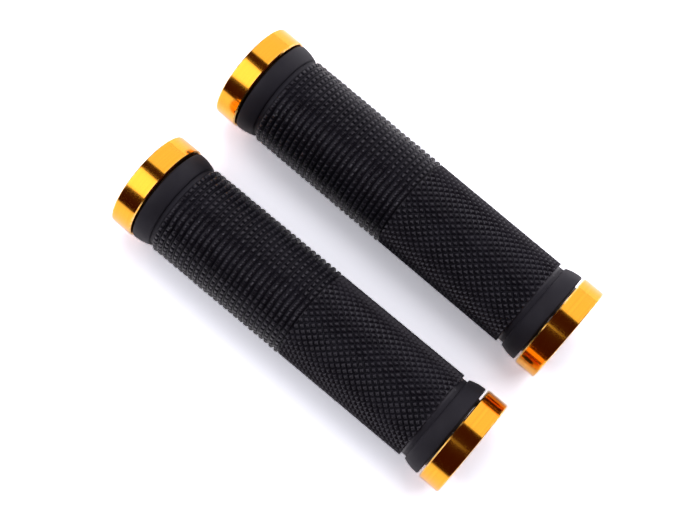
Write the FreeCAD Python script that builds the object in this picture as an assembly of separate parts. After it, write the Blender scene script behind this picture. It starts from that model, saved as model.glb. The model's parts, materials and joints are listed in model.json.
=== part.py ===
import FreeCAD, Part
import math
import os

os.makedirs("parts", exist_ok=True)

# A pair of lock-on handlebar grips, lying side by side on a flat surface. Lengths in mm, angles in degrees.
# The row's origin is on that surface, midway between the two grips. Each grip is first made on its own axis:
# X along the grip with the outboard end at +X, the origin at mid-length.

# Where the two grips lie
pair_spacing = 47.1        # between the two axes at mid-length, along Y
pair_stagger = 0.4         # how far the right grip lies ahead, along X
toe_angle = 0.88           # between the two axes: they close up towards the outboard end

# The handlebar and the grip as a whole
bar_radius = 11.1          # a 22.2 mm bar
bar_clearance = 0.1        # in the sleeve and in the open lock rings
grip_length = 130.0        # over both lock rings

# Core sleeve
sleeve_wall = 1.55
sleeve_end_gap = 0.1       # from the sleeve's end face to the lock ring
tab_count = 4
tab_span = 24.0            # the angle that each drive tab covers
tab_length = 4.0
tab_clearance = 0.15       # all round a tab in its notch

# Rubber, as thicknesses on the sleeve
collar_gap = 0.6           # from the rubber's end face to the lock ring
collar_wall = 3.65
collar_length = 5.9
collar_foot = 0.7          # the step from the groove up to the collar's curve
collar_edge = 0.5
groove_wall = 1.85
ribbed_end_groove = 1.25   # the grooves' lengths beside the collars
diamond_end_groove = 1.9
rib_wall = 2.93
rib_height = 0.75
rib_count = 25
rib_pitch = 2.03
rib_crest_width = 0.9
rib_root_width = 0.5
rib_crown = 0.12           # how far the crest's curve rises over its shoulders
band_length = 0.4          # shallow groove between the ribs and the diamond cut
band_wall = 2.6
diamond_wall = 2.75

# Lock rings
ring_wall = 5.5
ring_width = 7.5
ring_inner_chamfer = 0.35
ring_outer_round = 0.4
slit_width = 1.5
slit_angle = -47.5         # from the horizontal, on the +Y side

# Pinch screws, M2.5 socket head
screw_radius = 1.25
screw_length = 8.0         # under the head
screw_tip_chamfer = 0.3
head_radius = 2.25
head_height = 2.5
head_chamfer = 0.2
head_seat = 2.4            # from the slit's middle to the face that the head bears on
head_cover = 0.05          # how far the head's corner stays under the ring's surface
hex_across_flats = 2.0
hex_depth = 1.3
thread_clearance = 0.05
shank_clearance = 0.15
head_clearance = 0.1
seat_clearance = 0.02
tap_run_out = 0.6          # tapped hole beyond the screw's tip

# End cap
cap_thickness = 1.25
cap_rim_width = 2.2        # how far the cap reaches over the ring's bore
cap_clearance = 0.05
cap_dish_depth = 0.4
cap_dish_margin = 3.0      # from the cap's edge to its dish
cap_chamfer = 0.25

# Helpers for the solid modeller
cut_margin = 1.0           # how far a cutting tool passes the face that it opens
tab_root_overlap = 1.0     # how far a tab runs into the sleeve that it joins

# What follows from those sizes
bore_radius = bar_radius + bar_clearance
ring_radius = bore_radius + ring_wall
sleeve_radius = bore_radius + sleeve_wall
grip_half = grip_length / 2
ring_face = grip_half - ring_width
sleeve_half = ring_face - sleeve_end_gap
rubber_half = ring_face - collar_gap
notch_depth = tab_length - sleeve_end_gap + tab_clearance
cap_radius = bore_radius + cap_rim_width
cap_seat_depth = cap_thickness + cap_clearance
screw_station = ring_face + (ring_width - cap_seat_depth) / 2
rib_radius = sleeve_radius + rib_wall
rib_root_radius = rib_radius - rib_height
band_radius = sleeve_radius + band_wall
diamond_radius = sleeve_radius + diamond_wall
groove_radius = sleeve_radius + groove_wall
collar_radius = sleeve_radius + collar_wall
screw_line = math.sqrt((ring_radius - head_cover) ** 2 - (head_seat + head_height) ** 2) - head_radius


origin = FreeCAD.Vector(0, 0, 0)
grip_axis = FreeCAD.Vector(1, 0, 0)


def line(a, b):
    return Part.LineSegment(FreeCAD.Vector(*a), FreeCAD.Vector(*b)).toShape()


def arc(a, middle, b):
    return Part.Arc(FreeCAD.Vector(*a), FreeCAD.Vector(*middle), FreeCAD.Vector(*b)).toShape()


def closed(points):
    """The straight edges that join (along, out) points in a ring."""
    return [line(a, b) for a, b in zip(points, points[1:] + points[:1])]


def turned(edges, span=360, start_angle=slit_angle):
    """The solid that an outline of (along, out) edges makes as it turns about the grip's axis, from an angle on."""
    piece = Part.Face(Part.Wire(edges)).revolve(origin, grip_axis, span)
    piece.rotate(origin, grip_axis, start_angle)
    return piece


def tube(start, end, inner, outer, span=360, start_angle=slit_angle):
    return turned(closed([(start, inner), (start, outer), (end, outer), (end, inner)]), span, start_angle)


def tab_angles():
    """The tabs share the circle evenly, and the slit lies midway between two of them."""
    step = 360 / tab_count
    return [slit_angle + step * (k + 0.5) for k in range(tab_count)]


def core_sleeve():
    sleeve = tube(-sleeve_half, sleeve_half, bore_radius, sleeve_radius)
    tabs = []
    for angle in tab_angles():
        for end in (-1, 1):
            root = end * (sleeve_half - tab_root_overlap)
            tip = end * (sleeve_half + tab_length)
            tabs.append(tube(min(root, tip), max(root, tip), bore_radius, sleeve_radius,
                             tab_span, angle - tab_span / 2))
    return sleeve.fuse(tabs).removeSplitter()


def rib_outline(middle):
    """One rib from its left root to its right root: sloped sides and a rounded crest."""
    root = (rib_pitch - rib_root_width) / 2
    crest = rib_crest_width / 2
    shoulder = rib_radius - rib_crown
    left_root = (middle - root, rib_root_radius)
    left_shoulder = (middle - crest, shoulder)
    right_shoulder = (middle + crest, shoulder)
    right_root = (middle + root, rib_root_radius)
    return left_root, left_shoulder, (middle, rib_radius), right_shoulder, right_root


def collar_outline(end):
    """One end collar from its groove to the rubber's end face: a foot, a convex flank and a rounded edge."""
    foot = end * (rubber_half - collar_length)
    crest = end * (rubber_half - collar_edge)
    face = end * rubber_half
    foot_radius = groove_radius + collar_foot
    rise = collar_radius - foot_radius
    run = collar_length - collar_edge
    flank_radius = (run ** 2 + rise ** 2) / (2 * rise)
    half_turn = math.asin(run / flank_radius) / 2
    flank_middle = (crest - end * flank_radius * math.sin(half_turn),
                    collar_radius - flank_radius * (1 - math.cos(half_turn)))
    edge_middle = (face - end * collar_edge * (1 - math.sqrt(0.5)),
                   collar_radius - collar_edge * (1 - math.sqrt(0.5)))
    return [
        line((foot, groove_radius), (foot, foot_radius)),
        arc((foot, foot_radius), flank_middle, (crest, collar_radius)),
        arc((crest, collar_radius), edge_middle, (face, collar_radius - collar_edge)),
        line((face, collar_radius - collar_edge), (face, sleeve_radius)),
    ]


def rubber_grip():
    ribs_start = -rubber_half + collar_length + ribbed_end_groove
    ribs_end = ribs_start + rib_count * rib_pitch
    diamonds_end = rubber_half - collar_length - diamond_end_groove
    edges = collar_outline(-1) + collar_outline(1)
    edges.append(line((-rubber_half, sleeve_radius), (rubber_half, sleeve_radius)))
    edges.append(line((-rubber_half + collar_length, groove_radius), (ribs_start, groove_radius)))
    edges.append(line((ribs_start, groove_radius), (ribs_start, rib_root_radius)))
    last = (ribs_start, rib_root_radius)
    for k in range(rib_count):
        left_root, left, crest, right, right_root = rib_outline(ribs_start + (k + 0.5) * rib_pitch)
        edges.append(line(last, left_root))
        edges.append(line(left_root, left))
        edges.append(arc(left, crest, right))
        edges.append(line(right, right_root))
        last = right_root
    steps = [last, (ribs_end, rib_root_radius), (ribs_end, band_radius), (ribs_end + band_length, band_radius),
             (ribs_end + band_length, diamond_radius), (diamonds_end, diamond_radius),
             (diamonds_end, groove_radius), (rubber_half - collar_length, groove_radius)]
    edges.extend(line(a, b) for a, b in zip(steps, steps[1:]))
    return turned(Part.sortEdges(edges)[0])


def screw_frame():
    """Where the pinch screw crosses the slit, and the way that it points: from the tip to the head."""
    radians = math.radians(slit_angle)
    crossing = FreeCAD.Vector(screw_station, screw_line * math.cos(radians), screw_line * math.sin(radians))
    heads_way = FreeCAD.Vector(0, -math.sin(radians), math.cos(radians))
    return crossing, heads_way


def along_screw(start, end, radius):
    """A round bar on the screw's line, from start to end measured from the slit's middle."""
    crossing, heads_way = screw_frame()
    return Part.makeCylinder(radius, end - start, crossing + heads_way * start, heads_way)


def lock_ring(has_cap_seat):
    """A ring for the outboard end. The inboard ring is turned end for end in its place."""
    chamfer = ring_inner_chamfer
    curve = ring_outer_round
    outer_face = grip_half
    curve_middle = (outer_face - curve * (1 - math.sqrt(0.5)), ring_radius - curve * (1 - math.sqrt(0.5)))
    edges = [
        line((ring_face, bore_radius), (ring_face, ring_radius - chamfer)),
        line((ring_face, ring_radius - chamfer), (ring_face + chamfer, ring_radius)),
        line((ring_face + chamfer, ring_radius), (outer_face - curve, ring_radius)),
        arc((outer_face - curve, ring_radius), curve_middle, (outer_face, ring_radius - curve)),
        line((outer_face, ring_radius - curve), (outer_face, bore_radius)),
        line((outer_face, bore_radius), (ring_face, bore_radius)),
    ]
    ring = turned(edges)
    cuts = []
    notch_span = tab_span + 2 * math.degrees(tab_clearance / bore_radius)
    for angle in tab_angles():
        notch_end = ring_face + notch_depth
        cuts.append(tube(ring_face - cut_margin, notch_end, bore_radius - cut_margin,
                         sleeve_radius + tab_clearance, notch_span, angle - notch_span / 2))
    slit = Part.makeBox(ring_width + 2 * cut_margin, ring_radius + cut_margin, slit_width,
                        FreeCAD.Vector(ring_face - cut_margin, 0, -slit_width / 2))
    slit.rotate(origin, grip_axis, slit_angle)
    cuts.append(slit)
    screw_tip = head_seat - screw_length
    cuts.append(along_screw(screw_tip - tap_run_out, 0, screw_radius + thread_clearance))
    cuts.append(along_screw(0, head_seat, screw_radius + shank_clearance))
    cuts.append(along_screw(head_seat - seat_clearance, ring_radius, head_radius + head_clearance))
    if has_cap_seat:
        cuts.append(tube(outer_face - cap_seat_depth, outer_face + cut_margin, 0, cap_radius + cap_clearance))
    return ring.cut(cuts)


def pinch_screw():
    tip = head_seat - screw_length
    top = head_seat + head_height
    shank = along_screw(tip, head_seat, screw_radius)
    head = along_screw(head_seat, top, head_radius)
    crossing, heads_way = screw_frame()
    tip_edge = [e for e in shank.Edges if (e.CenterOfMass - crossing).dot(heads_way) < tip + screw_tip_chamfer]
    rim = [e for e in head.Edges if (e.CenterOfMass - crossing).dot(heads_way) > top - head_chamfer]
    screw = shank.makeChamfer(screw_tip_chamfer, tip_edge[:1]).fuse(head.makeChamfer(head_chamfer, rim[:1]))
    corner_radius = hex_across_flats / math.sqrt(3)
    corners = [FreeCAD.Vector(corner_radius * math.cos(math.pi * k / 3), corner_radius * math.sin(math.pi * k / 3), 0)
               for k in range(7)]
    socket = Part.Face(Part.makePolygon(corners)).extrude(FreeCAD.Vector(0, 0, hex_depth))
    socket.Placement = FreeCAD.Placement(crossing + heads_way * (top - hex_depth),
                                         FreeCAD.Rotation(FreeCAD.Vector(0, 0, 1), heads_way))
    return screw.cut(socket).removeSplitter()


def end_cap():
    inner_face = grip_half - cap_thickness
    dish_radius = cap_radius - cap_dish_margin
    outline = [
        (inner_face, 0),
        (inner_face, cap_radius),
        (grip_half - cap_chamfer, cap_radius),
        (grip_half, cap_radius - cap_chamfer),
        (grip_half, dish_radius + cap_dish_depth),
        (grip_half - cap_dish_depth, dish_radius),
        (grip_half - cap_dish_depth, 0),
    ]
    return turned(closed(outline))


def to_inboard_end(shape):
    """Mirrors an outboard piece to the inboard end, so that both rings hold their screws at the same angle."""
    return shape.mirror(origin, grip_axis)


def laid_down(shape, side):
    """Puts a piece of the left (side -1) or right (side 1) grip in its place on the surface."""
    yaw = FreeCAD.Rotation(FreeCAD.Vector(0, 0, 1), -side * toe_angle / 2)
    place = FreeCAD.Vector(side * pair_stagger / 2, side * pair_spacing / 2, ring_radius)
    result = shape.copy()
    result.Placement = FreeCAD.Placement(place, yaw).multiply(result.Placement)
    return result


pieces = {
    "core_sleeve": core_sleeve(),
    "rubber_grip": rubber_grip(),
    "inner_lock_ring": to_inboard_end(lock_ring(has_cap_seat=False)),
    "outer_lock_ring": lock_ring(has_cap_seat=True),
    "inner_pinch_screw": to_inboard_end(pinch_screw()),
    "outer_pinch_screw": pinch_screw(),
    "end_cap": end_cap(),
}

for name, side in (("left", -1), ("right", 1)):
    for piece, shape in pieces.items():
        laid_down(shape, side).exportStep(f"parts/{name}_{piece}.step")
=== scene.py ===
import json
import math
import random
import bmesh
import bpy
from mathutils import Matrix, Vector


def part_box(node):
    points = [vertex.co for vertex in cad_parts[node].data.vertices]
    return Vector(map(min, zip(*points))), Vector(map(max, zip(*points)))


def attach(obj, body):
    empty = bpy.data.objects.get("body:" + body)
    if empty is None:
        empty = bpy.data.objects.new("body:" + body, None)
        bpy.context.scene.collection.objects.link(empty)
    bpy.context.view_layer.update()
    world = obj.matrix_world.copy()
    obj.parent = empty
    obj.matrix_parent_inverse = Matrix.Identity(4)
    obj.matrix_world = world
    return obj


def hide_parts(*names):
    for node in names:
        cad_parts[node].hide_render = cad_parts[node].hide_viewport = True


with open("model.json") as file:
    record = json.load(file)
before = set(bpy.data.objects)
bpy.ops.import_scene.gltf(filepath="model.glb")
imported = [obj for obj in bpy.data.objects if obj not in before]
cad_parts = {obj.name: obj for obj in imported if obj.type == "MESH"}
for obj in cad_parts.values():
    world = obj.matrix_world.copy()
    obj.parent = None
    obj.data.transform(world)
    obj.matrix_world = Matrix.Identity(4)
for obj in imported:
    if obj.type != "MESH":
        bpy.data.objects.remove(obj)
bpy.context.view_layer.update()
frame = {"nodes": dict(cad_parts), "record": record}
nodes = frame["nodes"]
print("loaded", len(nodes), "nodes")

millimetre = 0.001
aboutGrip = (1, 0, 0)  # every grip is made along X in millimetres, then laid in its place


# where each grip lies

def gripPlace(side):
    low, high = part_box(side + "_core_sleeve")
    middle = (Vector(low) + Vector(high)) / 2
    inboard = next(m["axis"] for m in frame["record"]["mounts"] if m["name"] == side + "_bar_clamp")
    yaw = math.atan2(-inboard[1], -inboard[0])
    return middle, yaw


def layDown(bm, side):
    middle, yaw = gripPlace(side)
    place = Matrix.Translation(middle) @ Matrix.Rotation(yaw, 4, "Z") @ Matrix.Scale(millimetre, 4)
    bmesh.ops.transform(bm, matrix=place, verts=bm.verts)


# nodes shared by the materials

def feed(tree, socket, value):
    if isinstance(value, bpy.types.NodeSocket):
        tree.links.new(value, socket)
    else:
        socket.default_value = value


def addNode(tree, kind, values=None, **settings):
    node = tree.nodes.new(kind)
    for label, value in settings.items():
        setattr(node, label, value)
    for label, value in (values or {}).items():
        feed(tree, node.inputs[label], value)
    return node


def mathNode(tree, operation, *values):
    return addNode(tree, "ShaderNodeMath", dict(enumerate(values)), operation=operation).outputs[0]


def rampBetween(tree, value, low, high, start=0.0, end=1.0):
    ramp = addNode(tree, "ShaderNodeMapRange", {"Value": value, "From Min": low, "From Max": high,
                                                "To Min": start, "To Max": end},
                   interpolation_type="SMOOTHSTEP")
    return ramp.outputs["Result"]


def noiseNode(tree, values, **settings):
    return addNode(tree, "ShaderNodeTexNoise", values, **settings).outputs["Fac"]


def splitVector(tree, vector):
    return addNode(tree, "ShaderNodeSeparateXYZ", {"Vector": vector}).outputs


def distanceAcross(tree, parts):
    squares = [mathNode(tree, "MULTIPLY", parts[axis], parts[axis]) for axis in ("Y", "Z")]
    return mathNode(tree, "SQRT", mathNode(tree, "ADD", *squares))


def mixColours(tree, factor, first, second):
    node = addNode(tree, "ShaderNodeMix", {"Factor": factor}, data_type="RGBA")
    sockets = [s for s in node.inputs if s.type == "RGBA"]
    for socket, value in zip(sockets, (first, second)):
        feed(tree, socket, (*value, 1.0) if isinstance(value, tuple) else value)
    return next(s for s in node.outputs if s.type == "RGBA")


def newGroup(name, inputs, outputs):
    # every group reads one vector, and its other sockets are plain numbers
    group = bpy.data.node_groups.new(name, "ShaderNodeTree")
    group.interface.new_socket(name="Vector", in_out="INPUT", socket_type="NodeSocketVector")
    for way, labels in (("INPUT", inputs), ("OUTPUT", outputs)):
        for label in labels:
            group.interface.new_socket(name=label, in_out=way, socket_type="NodeSocketFloat")
    return group, group.nodes.new("NodeGroupInput").outputs, group.nodes.new("NodeGroupOutput").inputs


def useGroup(tree, group, values):
    return addNode(tree, "ShaderNodeGroup", values, node_tree=group).outputs


grainLook = {"fineDetail": 3.0, "slowDetail": 2.0, "patchEdges": (0.3, 0.7)}


def makeGrainGroup():
    # moulded or cast skin: fine grain as height, and slow patches as shade
    group, given, out = newGroup("mouldedGrain", ("Grain Scale", "Patch Scale"), ("Height", "Patches"))
    fine = noiseNode(group, {"Vector": given["Vector"], "Scale": given["Grain Scale"],
                             "Detail": grainLook["fineDetail"]})
    slow = noiseNode(group, {"Vector": given["Vector"], "Scale": given["Patch Scale"],
                             "Detail": grainLook["slowDetail"]})
    feed(group, out["Height"], fine)
    feed(group, out["Patches"], rampBetween(group, slow, *grainLook["patchEdges"]))
    return group


turningLook = {"lineDetail": 4.0, "bandScale": 0.13, "bandDetail": 1.0}


def makeTurningGroup():
    # lathe marks: rings that follow the length on a round face and the radius on an end face
    group, given, out = newGroup("turningMarks", ("Line Scale",), ("Height", "Bands"))
    parts = splitVector(group, given["Vector"])
    reach = mathNode(group, "ADD", parts["X"], distanceAcross(group, parts))
    along = mathNode(group, "MULTIPLY", reach, given["Line Scale"])
    lines = noiseNode(group, {"W": along, "Scale": 1.0, "Detail": turningLook["lineDetail"]},
                      noise_dimensions="1D")
    bands = noiseNode(group, {"W": along, "Scale": turningLook["bandScale"],
                              "Detail": turningLook["bandDetail"]}, noise_dimensions="1D")
    feed(group, out["Height"], lines)
    feed(group, out["Bands"], bands)
    return group


dustLook = {"speckEdge": (0.05, 0.11), "speckShare": (0.9, 0.96), "facingUp": (0.1, 0.9)}


def makeDustGroup():
    # specks and a thin film that gather on surfaces facing up
    group, given, out = newGroup("settledDust", ("Speck Scale", "Amount"), ("Mask",))
    specks = addNode(group, "ShaderNodeTexVoronoi", {"Vector": given["Vector"], "Scale": given["Speck Scale"],
                                                     "Randomness": 1.0}).outputs
    spots = rampBetween(group, specks["Distance"], *dustLook["speckEdge"], 1.0, 0.0)
    chosen = rampBetween(group, splitVector(group, specks["Color"])["X"], *dustLook["speckShare"])
    normal = addNode(group, "ShaderNodeNewGeometry").outputs["Normal"]
    facing = rampBetween(group, splitVector(group, normal)["Z"], *dustLook["facingUp"])
    film = mathNode(group, "MULTIPLY", facing, given["Amount"])
    spotted = mathNode(group, "MULTIPLY", mathNode(group, "MULTIPLY", spots, chosen), facing)
    feed(group, out["Mask"], mathNode(group, "MAXIMUM", film, spotted))
    return group


grainGroup = makeGrainGroup()
turningGroup = makeTurningGroup()
dustGroup = makeDustGroup()


def startMaterial(name, constants):
    material = bpy.data.materials.new(name)
    material.use_nodes = True
    tree = material.node_tree
    shader = tree.nodes["Principled BSDF"].inputs
    for label, value in constants.items():
        shader[label].default_value = value
    return material, tree, shader


def gripVector(tree, side):
    # Object coordinates turned to the grip's own axis, in metres
    middle, yaw = gripPlace(side)
    coordinates = addNode(tree, "ShaderNodeTexCoord").outputs["Object"]
    shifted = addNode(tree, "ShaderNodeMapping", {"Vector": coordinates, "Location": middle,
                                                  "Rotation": (0, 0, yaw)}, vector_type="TEXTURE")
    return shifted.outputs["Vector"]


def addGrain(tree, vector, finish):
    return useGroup(tree, grainGroup, {"Vector": vector, "Grain Scale": finish["grainScale"],
                                       "Patch Scale": finish["patchScale"]})


def addDust(tree, vector, finish, shade):
    dust = useGroup(tree, dustGroup, {"Vector": vector, "Speck Scale": finish["speckScale"],
                                      "Amount": finish["dustFilm"]})
    return mixColours(tree, dust["Mask"], shade, finish["dust"])


def addBump(tree, shader, height, finish):
    bump = addNode(tree, "ShaderNodeBump", {"Height": height, "Strength": finish["bumpStrength"],
                                            "Distance": finish["bumpHeight"]})
    feed(tree, shader["Normal"], bump.outputs["Normal"])


# rubber

rubberFinish = {
    "shader": {"Specular IOR Level": 0.5, "Specular Tint": (0.9, 0.86, 1.0, 1.0), "Sheen Weight": 0.02,
               "Sheen Roughness": 0.4},
    "colour": (0.0065, 0.006, 0.01), "worn": (0.01, 0.0092, 0.015), "dust": (0.12, 0.12, 0.13),
    "roughness": (0.3, 0.42), "collarRoughness": 0.3, "collarStart": 0.0495, "collarBlend": 0.0005,
    "grainScale": 2600, "patchScale": 120, "bumpStrength": 0.5, "bumpHeight": 0.00004,
    "speckScale": 260, "dustFilm": 0.006,
}


def rubberMaterial(side):
    material, tree, shader = startMaterial(side + "Rubber", rubberFinish["shader"])
    vector = gripVector(tree, side)
    grain = addGrain(tree, vector, rubberFinish)
    shade = mixColours(tree, grain["Patches"], rubberFinish["colour"], rubberFinish["worn"])
    feed(tree, shader["Base Color"], addDust(tree, vector, rubberFinish, shade))
    # the collars are rougher than the pattern between them
    along = mathNode(tree, "ABSOLUTE", splitVector(tree, vector)["X"])
    start = rubberFinish["collarStart"]
    collar = rampBetween(tree, along, start, start + rubberFinish["collarBlend"], 0,
                         rubberFinish["collarRoughness"])
    patterned = rampBetween(tree, grain["Patches"], 0, 1, *rubberFinish["roughness"])
    feed(tree, shader["Roughness"], mathNode(tree, "ADD", patterned, collar))
    addBump(tree, shader, grain["Height"], rubberFinish)
    return material


# gold anodised rings

goldFinish = {
    "shader": {"Metallic": 1.0},
    "colour": (1.0, 0.47, 0.045), "deep": (0.97, 0.4, 0.03), "edge": (1.0, 0.62, 0.2),
    "bounced": (0.8, 0.52, 0.42), "roughness": (0.09, 0.16), "markEdges": (0.3, 0.7),
    "lineScale": 9000, "bumpStrength": 0.35, "bumpHeight": 0.0000016,
    "innerFace": 0.0575, "outerFace": 0.065, "rim": 0.0167,
    "edgeBand": 0.00035, "faceFade": 1.6, "rimFade": 2,  # both fades are counted in edge bands
    "wearScale": 900.0, "wearDetail": 3.0, "wearEdges": (0.35, 0.6),
}


def wornEdges(tree, vector):
    parts = splitVector(tree, vector)
    along = mathNode(tree, "ABSOLUTE", parts["X"])
    band = goldFinish["edgeBand"]
    fade = goldFinish["faceFade"] * band
    inner, outer, rim = goldFinish["innerFace"], goldFinish["outerFace"], goldFinish["rim"]
    nearInner = rampBetween(tree, along, inner + band, inner + fade, 1, 0)
    nearOuter = rampBetween(tree, along, outer - fade, outer - band)
    nearRim = rampBetween(tree, distanceAcross(tree, parts), rim - goldFinish["rimFade"] * band, rim - band)
    wear = noiseNode(tree, {"Vector": vector, "Scale": goldFinish["wearScale"],
                            "Detail": goldFinish["wearDetail"]})
    corner = mathNode(tree, "MULTIPLY", mathNode(tree, "MAXIMUM", nearInner, nearOuter), nearRim)
    return mathNode(tree, "MULTIPLY", corner, rampBetween(tree, wear, *goldFinish["wearEdges"]))


def goldMaterial(side):
    material, tree, shader = startMaterial(side + "Gold", goldFinish["shader"])
    vector = gripVector(tree, side)
    marks = useGroup(tree, turningGroup, {"Vector": vector, "Line Scale": goldFinish["lineScale"]})
    body = mixColours(tree, marks["Bands"], goldFinish["colour"], goldFinish["deep"])
    edged = mixColours(tree, wornEdges(tree, vector), body, goldFinish["edge"])
    # a paler bounce, so that the rings leave only a faint tint on the floor
    bounced = addNode(tree, "ShaderNodeLightPath").outputs["Is Diffuse Ray"]
    feed(tree, shader["Base Color"], mixColours(tree, bounced, edged, goldFinish["bounced"]))
    feed(tree, shader["Roughness"], rampBetween(tree, marks["Height"], *goldFinish["markEdges"],
                                                *goldFinish["roughness"]))
    addBump(tree, shader, marks["Height"], goldFinish)
    return material


# black plastic of the sleeve and the cap

plasticFinish = {
    "shader": {"Specular IOR Level": 0.5},
    "colour": (0.02, 0.02, 0.021), "scuffed": (0.034, 0.034, 0.036), "dust": (0.2, 0.2, 0.21),
    "roughness": (0.34, 0.46), "grainScale": 1500, "patchScale": 260,
    "bumpStrength": 0.6, "bumpHeight": 0.00003, "speckScale": 300, "dustFilm": 0.01,
}


def plasticMaterial(side):
    material, tree, shader = startMaterial(side + "Plastic", plasticFinish["shader"])
    vector = gripVector(tree, side)
    grain = addGrain(tree, vector, plasticFinish)
    shade = mixColours(tree, grain["Patches"], plasticFinish["colour"], plasticFinish["scuffed"])
    feed(tree, shader["Base Color"], addDust(tree, vector, plasticFinish, shade))
    feed(tree, shader["Roughness"], rampBetween(tree, grain["Patches"], 0, 1, *plasticFinish["roughness"]))
    addBump(tree, shader, grain["Height"], plasticFinish)
    return material


# black oxide steel of the pinch screws

steelFinish = {
    "shader": {"Metallic": 0.85},
    "colour": (0.035, 0.034, 0.036), "rubbed": (0.16, 0.155, 0.15), "rubbedEdges": (0.6, 1.0),
    "roughness": (0.28, 0.42), "grainEdges": (0.3, 0.7), "grainScale": 3200, "patchScale": 900,
    "bumpStrength": 0.5, "bumpHeight": 0.00001,
}


def steelMaterial(side):
    material, tree, shader = startMaterial(side + "BlackSteel", steelFinish["shader"])
    vector = gripVector(tree, side)
    grain = addGrain(tree, vector, steelFinish)
    rubbed = rampBetween(tree, grain["Patches"], *steelFinish["rubbedEdges"])
    feed(tree, shader["Base Color"], mixColours(tree, rubbed, steelFinish["colour"], steelFinish["rubbed"]))
    feed(tree, shader["Roughness"], rampBetween(tree, grain["Height"], *steelFinish["grainEdges"],
                                                *steelFinish["roughness"]))
    addBump(tree, shader, grain["Height"], steelFinish)
    return material


# the rubber skin, in millimetres

skin = {
    "halfLength": 56.9, "boreRadius": 12.76, "turnSteps": 100, "grooveRadius": 14.5,
    "collarLength": 5.9, "collarRadius": 16.4, "flankSteps": 10, "edgeRound": 0.5, "edgeSteps": 5,
    "footRadius": 15.3, "footRun": 0.2, "footDrop": 0.1, "wallLean": 0.12,  # where the groove's wall tops out
    "ribbedStart": -49.75, "ribCount": 25, "ribPitch": 2.03, "rootRadius": 14.3, "rootWidth": 0.1,
    "nubColumns": 50, "columnEdge": 0.49, "shelfRadius": 14.95, "shelfWidth": 1.38,
    "nubSteps": ((0.03, 0.0), (0.15, 0.52), (0.19, 0.18)),  # each inset's width and rise
    "nubNarrowing": 0.79, "nubWander": 0.06, "wanderSeed": 4,
    "diamondStart": 1.2, "diamondEnd": 49.1, "firstRow": 1.8, "rowStep": 1.305, "diamondColumns": 40,
    "valleyRadius": 14.72, "diamondSteps": ((0.03, 0.0), (0.45, 0.65), (0.2, 0.13)), "diamondStretch": 1.3,
    "wallFootRise": 0.05, "seamHalfWidth": 0.4, "seamRadius": 15.1, "seamRelief": 0.62,
    "sharpAngle": 50, "slack": 0.05, "weldDistance": 0.01, "cutDistance": 0.0001,
}


def lineTo(bm, last, along, radius):
    corner = bm.verts.new((along, 0, radius))
    bm.edges.new((last, corner))
    return corner


def arcTo(bm, last, along, radius, angle, steps):
    turned = bmesh.ops.spin(bm, geom=[last], cent=(along, 0, radius), axis=(0, 1, 0), dvec=(0, 0, 0),
                            angle=angle, steps=steps, use_merge=False, use_normal_flip=False,
                            use_duplicate=False)
    return next(g for g in turned["geom_last"] if isinstance(g, bmesh.types.BMVert))


def spinAll(bm, steps):
    bmesh.ops.spin(bm, geom=bm.verts[:] + bm.edges[:], cent=(0, 0, 0), axis=aboutGrip, dvec=(0, 0, 0),
                   angle=math.tau, steps=steps, use_merge=True, use_normal_flip=False, use_duplicate=False)


def raiseFaces(bm, faces, steps):
    for width, rise in steps:
        bmesh.ops.inset_individual(bm, faces=faces, thickness=width, depth=rise, use_even_offset=True)


def traceCollar(bm, end, last):
    # from the groove's floor over the collar to the bore: end is -1 inboard and 1 outboard
    half = skin["halfLength"]
    rise = skin["collarRadius"] - skin["footRadius"]
    run = skin["collarLength"] - skin["edgeRound"]
    flankRadius = (run ** 2 + rise ** 2) / (2 * rise)
    flankAngle = math.asin((run - skin["footRun"]) / flankRadius)
    crest = end * (half - skin["edgeRound"])
    wall = half - skin["collarLength"]
    last = lineTo(bm, last, end * wall, skin["grooveRadius"])
    last = lineTo(bm, last, end * (wall + skin["wallLean"]), skin["footRadius"] - skin["footDrop"])
    last = lineTo(bm, last, end * (wall + skin["footRun"]), skin["footRadius"])
    last = arcTo(bm, last, crest, skin["collarRadius"] - flankRadius, end * flankAngle, skin["flankSteps"])
    last = arcTo(bm, last, crest, skin["collarRadius"] - skin["edgeRound"], end * math.pi / 2,
                 skin["edgeSteps"])
    return lineTo(bm, last, end * half, skin["boreRadius"])


def plainParts():
    # both collars, their grooves and the bore, as one shell that is open where the patterned zones go
    bm = bmesh.new()
    ends = []
    for end, zoneEdge in ((-1, skin["ribbedStart"]), (1, skin["diamondEnd"])):
        first = bm.verts.new((zoneEdge, 0, skin["grooveRadius"]))
        ends.append(traceCollar(bm, end, first))
    bm.edges.new(ends)
    spinAll(bm, skin["turnSteps"])
    return bm


def shelvedRings():
    # a low ring with sloped sides for each rib, in as many flat faces as it has nubs
    bm = bmesh.new()
    pitch = skin["ribPitch"]
    root = (pitch - skin["rootWidth"]) / 2
    shelf = skin["shelfWidth"] / 2
    last = bm.verts.new((skin["ribbedStart"], 0, skin["rootRadius"]))
    for k in range(skin["ribCount"]):
        middle = skin["ribbedStart"] + (k + 0.5) * pitch
        for along, radius in ((-root, skin["rootRadius"]), (-shelf, skin["shelfRadius"]),
                              (shelf, skin["shelfRadius"]), (root, skin["rootRadius"])):
            last = lineTo(bm, last, middle + along, radius)
    lineTo(bm, last, skin["ribbedStart"] + skin["ribCount"] * pitch, skin["rootRadius"])
    spinAll(bm, skin["nubColumns"])
    return bm


def ribAndAngle(face):
    # the spin gives its faces in no fixed order, so they are put in order along and round the grip
    middle = face.calc_center_median()
    rib = math.floor((middle.x - skin["ribbedStart"]) / skin["ribPitch"])
    return rib, math.atan2(middle.y, middle.z)


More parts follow.
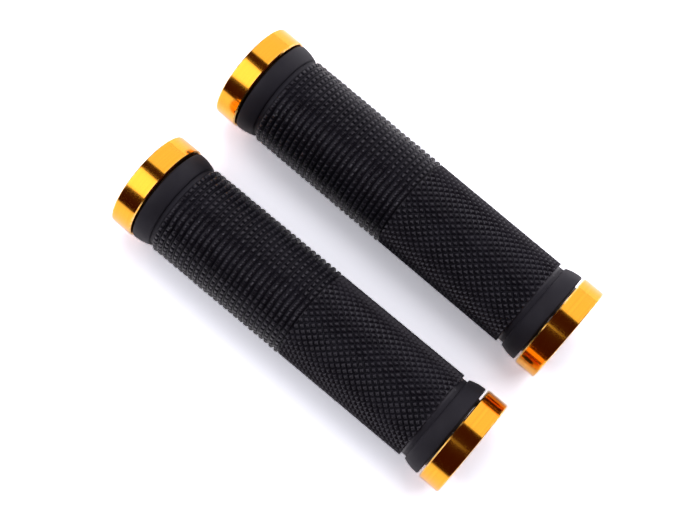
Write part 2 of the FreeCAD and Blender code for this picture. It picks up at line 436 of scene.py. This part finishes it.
def wanderCrowns(crowns):
    # moulded rubber isn't perfectly even
    chance = random.Random(skin["wanderSeed"])
    for crown in crowns:
        shift = chance.uniform(-1, 1) * skin["nubWander"]
        lift = 1 + chance.uniform(-1, 1) * skin["nubWander"] / skin["shelfRadius"]
        for corner in crown.verts:
            corner.co = (corner.co.x + shift, corner.co.y * lift, corner.co.z * lift)


def narrowNubs(bm):
    # each nub is narrowed about its column's middle, which widens the gaps round the grip
    column = math.tau / skin["nubColumns"]
    for corner in bm.verts:
        angle = math.atan2(corner.co.y, corner.co.z)
        offset = (angle / column) % 1 - 0.5
        if abs(offset) < skin["columnEdge"]:
            turn = Matrix.Rotation(offset * column * (1 - skin["nubNarrowing"]), 3, "X")
            corner.co = turn @ corner.co


def ribbedZone():
    bm = shelvedRings()
    level = skin["shelfRadius"] - skin["slack"]
    shelves = [f for f in bm.faces if math.hypot(*f.calc_center_median().yz) > level]
    shelves.sort(key=ribAndAngle)
    bmesh.ops.recalc_face_normals(bm, faces=bm.faces)
    if shelves[0].normal.dot(Vector((0, *shelves[0].calc_center_median().yz))) < 0:
        bmesh.ops.reverse_faces(bm, faces=bm.faces)
    raiseFaces(bm, shelves, skin["nubSteps"])
    wanderCrowns(shelves)
    narrowNubs(bm)
    return bm


def diamond():
    # one lozenge on the valley's floor, raised and then stretched along the grip
    bm = bmesh.new()
    bmesh.ops.create_circle(bm, cap_ends=True, radius=skin["rowStep"], segments=4)
    halfTurn = math.pi / skin["diamondColumns"]
    side = skin["valleyRadius"] * math.sin(halfTurn)
    for corner in bm.verts:
        onSide = abs(corner.co.y) > skin["rowStep"] / 2
        lean = math.cos(halfTurn) if onSide else 1.0
        corner.co = (corner.co.x, corner.co.y * side / skin["rowStep"], skin["valleyRadius"] * lean)
    bmesh.ops.recalc_face_normals(bm, faces=bm.faces)
    if bm.faces[:][0].normal.z < 0:
        bmesh.ops.reverse_faces(bm, faces=bm.faces)
    raiseFaces(bm, bm.faces[:], skin["diamondSteps"])
    for corner in bm.verts:
        if corner.co.z > skin["valleyRadius"] + skin["slack"]:
            corner.co.x *= skin["diamondStretch"]
            corner.co.y /= skin["diamondStretch"]
    return bm


def repeatShifted(bm, geometry, turn, along):
    copy = bmesh.ops.duplicate(bm, geom=geometry)["geom"]
    corners = [g for g in copy if isinstance(g, bmesh.types.BMVert)]
    bmesh.ops.rotate(bm, verts=corners, cent=(0, 0, 0), matrix=Matrix.Rotation(turn, 3, "X"))
    bmesh.ops.translate(bm, verts=corners, vec=(along, 0, 0))


def diamondZone():
    # the lozenge is turned into a row, staggered into the next row, repeated and cut to length
    bm = diamond()
    columns = skin["diamondColumns"]
    bmesh.ops.spin(bm, geom=bm.faces[:], cent=(0, 0, 0), axis=aboutGrip, dvec=(0, 0, 0),
                   angle=math.tau * (columns - 1) / columns, steps=columns - 1, use_merge=False,
                   use_normal_flip=False, use_duplicate=True)
    repeatShifted(bm, bm.faces[:] + bm.edges[:] + bm.verts[:], math.pi / columns, skin["rowStep"])
    pair = bm.faces[:] + bm.edges[:] + bm.verts[:]
    pairStep = 2 * skin["rowStep"]
    pairs = math.ceil((skin["diamondEnd"] - skin["diamondStart"]) / pairStep) + 1
    for k in range(1, pairs):
        repeatShifted(bm, pair, 0, k * pairStep)
    bmesh.ops.translate(bm, verts=bm.verts, vec=(skin["firstRow"] - skin["rowStep"], 0, 0))
    bmesh.ops.remove_doubles(bm, verts=bm.verts, dist=skin["weldDistance"])
    for cut, outward in ((skin["diamondStart"], -1), (skin["diamondEnd"], 1)):
        bmesh.ops.bisect_plane(bm, geom=bm.verts[:] + bm.edges[:] + bm.faces[:], dist=skin["cutDistance"],
                               plane_co=(cut, 0, 0), plane_no=(outward, 0, 0), clear_outer=True)
    return bm


def borderEdges(bm, low, high, slack):
    return [e for e in bm.edges if e.is_boundary
            and all(low - slack < v.co.x < high + slack for v in e.verts)]


def wallDown(bm, along, radius):
    # a cut face from the diamonds' edge down to the groove beside them
    border = borderEdges(bm, along, along, skin["weldDistance"])
    made = bmesh.ops.extrude_edge_only(bm, edges=border)["geom"]
    for corner in (g for g in made if isinstance(g, bmesh.types.BMVert)):
        across = Vector(corner.co.yz)
        corner.co.yz = across.normalized() * radius


def mergeInto(bm, other):
    mesh = bpy.data.meshes.new("zone")
    other.to_mesh(mesh)
    other.free()
    bm.from_mesh(mesh)
    bpy.data.meshes.remove(mesh)


def partingLine(bm):
    # the mould's two halves meet at the top and the bottom, where the pattern's crests are lower
    level = skin["seamRadius"]
    for corner in bm.verts:
        across = math.hypot(*corner.co.yz)
        inPattern = skin["ribbedStart"] < corner.co.x < skin["diamondEnd"] and across > level
        if inPattern and abs(corner.co.y) < skin["seamHalfWidth"]:
            lowered = level + (across - level) * skin["seamRelief"]
            corner.co.yz = Vector(corner.co.yz) * (lowered / across)


def joinZones():
    bm = plainParts()
    mergeInto(bm, ribbedZone())
    mergeInto(bm, diamondZone())
    wallDown(bm, skin["diamondStart"], skin["rootRadius"])
    wallDown(bm, skin["diamondEnd"], skin["grooveRadius"] + skin["wallFootRise"])
    ribbedEnd = skin["ribbedStart"] + skin["ribCount"] * skin["ribPitch"]
    for low, high in ((skin["ribbedStart"], skin["ribbedStart"]), (ribbedEnd, skin["diamondStart"]),
                      (skin["diamondEnd"], skin["diamondEnd"])):
        bmesh.ops.bridge_loops(bm, edges=borderEdges(bm, low, high, skin["slack"]))
    return bm


def rubberSkin(side):
    bm = joinZones()
    partingLine(bm)
    bmesh.ops.recalc_face_normals(bm, faces=bm.faces)
    openEdges = sum(not e.is_manifold for e in bm.edges)
    for face in bm.faces:
        face.smooth = True
    layDown(bm, side)
    mesh = bpy.data.meshes.new(side + "_rubber_skin")
    bm.to_mesh(mesh)
    bm.free()
    mesh.set_sharp_from_angle(angle=math.radians(skin["sharpAngle"]))
    piece = bpy.data.objects.new(side + "_rubber_skin", mesh)
    bpy.context.scene.collection.objects.link(piece)
    print(piece.name, len(mesh.polygons), "faces,", openEdges, "open edges")
    return piece


# the skin replaces the rubber, and every other piece keeps its shape and gets a finish

for side in ("left", "right"):
    gold, plastic, steel = goldMaterial(side), plasticMaterial(side), steelMaterial(side)
    finishes = {"inner_lock_ring": gold, "outer_lock_ring": gold, "core_sleeve": plastic, "end_cap": plastic,
                "inner_pinch_screw": steel, "outer_pinch_screw": steel}
    for name, finish in finishes.items():
        for materialSlot in nodes[f"{side}_{name}"].material_slots:
            materialSlot.material = finish
    piece = rubberSkin(side)
    piece.data.materials.append(rubberMaterial(side))
    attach(piece, side + "_grip")
    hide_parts(side + "_rubber_grip")
print("pieces made")


# floor

floorFinish = {
    "shader": {"Roughness": 0.9, "Specular IOR Level": 0.0, "Emission Strength": 1.0},
    "size": 6.0, "colour": (0.8, 0.79, 0.82), "mirrored": (1.75, 1.7, 1.75), "seen": (2.3, 2.29, 2.48),
    "litRadius": 0.45, "whiteRadius": 1.1, "unlit": (0.0, 0.0, 0.0), "white": (1.0, 1.0, 1.0),
}


def floorMaterial():
    material, tree, shader = startMaterial("paleFloor", floorFinish["shader"])
    rays = addNode(tree, "ShaderNodeLightPath").outputs
    mirrored = mixColours(tree, rays["Is Glossy Ray"], floorFinish["colour"], floorFinish["mirrored"])
    feed(tree, shader["Base Color"], mixColours(tree, rays["Is Camera Ray"], mirrored, floorFinish["seen"]))
    # past the softboxes' reach the floor runs into the white backdrop
    place = addNode(tree, "ShaderNodeTexCoord").outputs["Object"]
    distance = addNode(tree, "ShaderNodeVectorMath", {0: place}, operation="LENGTH").outputs["Value"]
    far = rampBetween(tree, distance, floorFinish["litRadius"], floorFinish["whiteRadius"])
    farSeen = mathNode(tree, "MULTIPLY", far, rays["Is Camera Ray"])
    backdropWhite = mixColours(tree, farSeen, floorFinish["unlit"], floorFinish["white"])
    feed(tree, shader["Emission Color"], backdropWhite)
    return material


def makeFloor():
    bm = bmesh.new()
    bmesh.ops.create_grid(bm, x_segments=1, y_segments=1, size=floorFinish["size"] / 2)
    mesh = bpy.data.meshes.new("floor")
    bm.to_mesh(mesh)
    bm.free()
    mesh.materials.append(floorMaterial())
    floor = bpy.data.objects.new("floor", mesh)
    bpy.context.scene.collection.objects.link(floor)


# lights: the third softbox opens up the shadows between the grips, and shows in no reflection

softboxes = {
    "backSoftbox": {"place": (0.0, 0.82, 0.6), "size": (1.7, 1.44), "power": 9,
                    "colour": (1.0, 0.99, 0.98), "inReflections": True},
    "overheadSoftbox": {"place": (-0.6, -0.55, 1.0), "size": (0.9, 1.2), "power": 6.5,
                        "colour": (1.0, 1.0, 1.0), "inReflections": True},
    "floorSoftbox": {"place": (0.1, 0.23, 1.1), "size": (1.0, 0.36), "power": 3.4,
                     "colour": (1.0, 1.0, 1.0), "inReflections": False},
}


def makeSoftbox(name, values):
    light = bpy.data.lights.new(name, "AREA")
    light.shape = "RECTANGLE"
    light.size, light.size_y = values["size"]
    light.energy = values["power"]
    light.color = values["colour"]
    lamp = bpy.data.objects.new(name, light)
    lamp.location = values["place"]
    lamp.rotation_euler = Vector(values["place"]).to_track_quat("Z", "Y").to_euler()
    lamp.visible_glossy = values["inReflections"]
    bpy.context.scene.collection.objects.link(lamp)


# backdrop: a dim room to diffuse rays, dark red in the rings' mirror bands and white to the camera

backdrop = {"ambient": (0.01, 0.01, 0.012), "mirrored": (0.04, 0.009, 0.005), "seen": (1.0, 1.0, 1.0)}


def makeBackdrop():
    world = bpy.data.worlds.new("studio")
    world.use_nodes = True
    tree = world.node_tree
    rays = addNode(tree, "ShaderNodeLightPath").outputs
    mirrored = mixColours(tree, rays["Is Glossy Ray"], backdrop["ambient"], backdrop["mirrored"])
    feed(tree, tree.nodes["Background"].inputs["Color"],
         mixColours(tree, rays["Is Camera Ray"], mirrored, backdrop["seen"]))
    bpy.context.scene.world = world
    bpy.context.scene.view_settings.view_transform = "Standard"  # keeps the gold's colour in its highlights


# camera: where it stands, and which way its own axes point

view = {"place": (0.05752, -0.10270, 0.46514), "right": (0.76124, 0.64691, 0.04503),
        "up": (-0.63632, 0.73178, 0.24414), "back": (0.12499, -0.21450, 0.96869),
        "lens": 77.2, "nearest": 0.01}


def makeCamera():
    camera = bpy.data.objects.new("camera", bpy.data.cameras.new("camera"))
    camera.data.lens = view["lens"]
    camera.data.clip_start = view["nearest"]
    turn = Matrix((view["right"], view["up"], view["back"])).transposed()
    camera.matrix_world = Matrix.Translation(view["place"]) @ turn.to_4x4()
    bpy.context.scene.collection.objects.link(camera)
    bpy.context.scene.camera = camera


makeFloor()
for name, values in softboxes.items():
    makeSoftbox(name, values)
makeBackdrop()
makeCamera()
print("stage ready")
